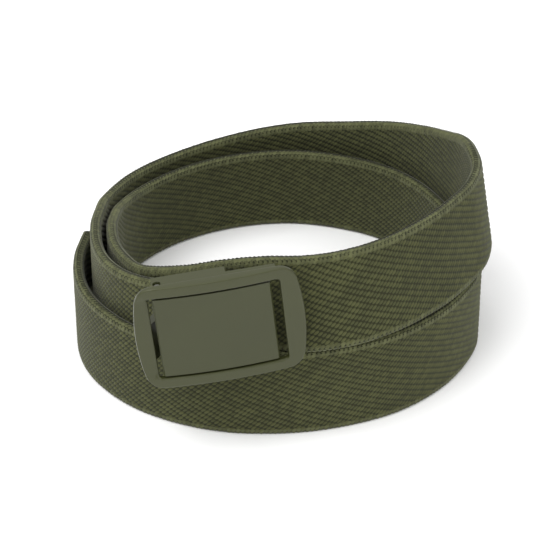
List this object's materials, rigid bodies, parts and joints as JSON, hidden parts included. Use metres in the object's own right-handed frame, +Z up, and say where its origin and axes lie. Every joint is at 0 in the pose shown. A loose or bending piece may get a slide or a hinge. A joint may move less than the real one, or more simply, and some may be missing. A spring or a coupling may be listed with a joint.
{
  "type": "canvas web belt",
  "caption": "Webbing belt coiled on its edge, fastened by a rounded frame buckle with a hinged lever.",
  "frame": {"origin": "middle of the belt's own box, on the surface that the coil stands on", "axes": "+Z up, along the webbing's width; -Y towards the buckle's front; +X to the right seen from the buckle's side"},
  "size_m": [0.1438, 0.1528, 0.0685],
  "materials": {
    "webbing": "woven matte olive",
    "frame": "matte olive paint",
    "lever": "matte olive paint",
    "pin": "satin",
    "clamp": "matte olive paint"
  },
  "bodies": {
    "belt": {"webbing_strap": "webbing", "buckle_frame": "frame", "strap_clamp": "clamp", "hinge_pin": "pin"},
    "lever": {"cam_lever": "lever"}
  },
  "joints": [
    {"name": "lever_hinge", "type": "hinge", "parent": "belt", "child": "lever", "pos_m": [-0.03732, -0.07186, 0.04565], "axis": [0.1035, 0.0145, -0.9945], "range_deg": [0, 70]}
  ]
}
